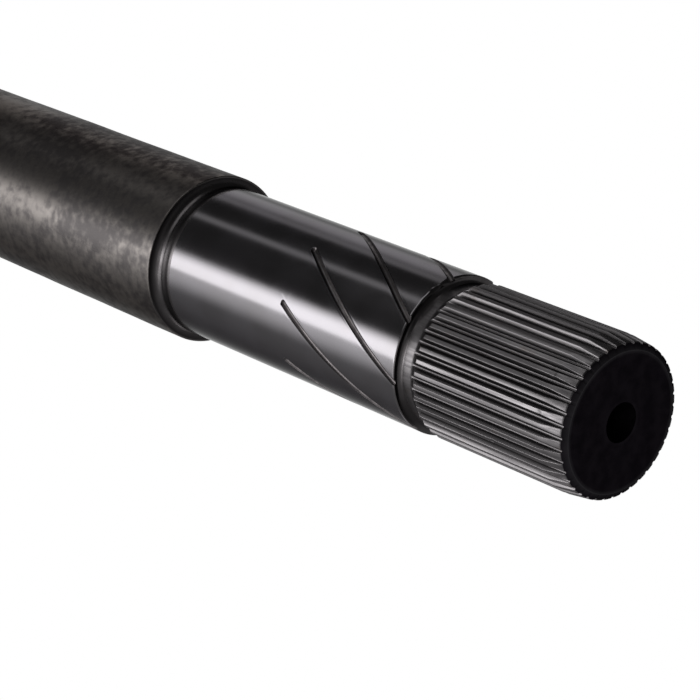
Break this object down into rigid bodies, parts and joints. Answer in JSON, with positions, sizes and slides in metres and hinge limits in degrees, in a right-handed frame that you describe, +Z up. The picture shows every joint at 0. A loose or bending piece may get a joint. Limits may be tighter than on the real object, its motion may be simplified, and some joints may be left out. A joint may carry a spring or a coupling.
{
  "type": "axle shaft",
  "caption": "Heavy axle shaft with a rough body, a ground journal with helical oil grooves and a splined end.",
  "frame": {"origin": "middle of the bearing journal, on the shaft's axis", "axes": "+X along the axis to the splined end face, +Z up, +Y to the left seen from the rough end"},
  "size_m": [0.4114, 0.0498, 0.0498],
  "materials": {
    "steel": "dark oiled forged skin, polished journal, satin teeth"
  },
  "bodies": {
    "root": {"axle_shaft": "steel"}
  },
  "joints": []
}
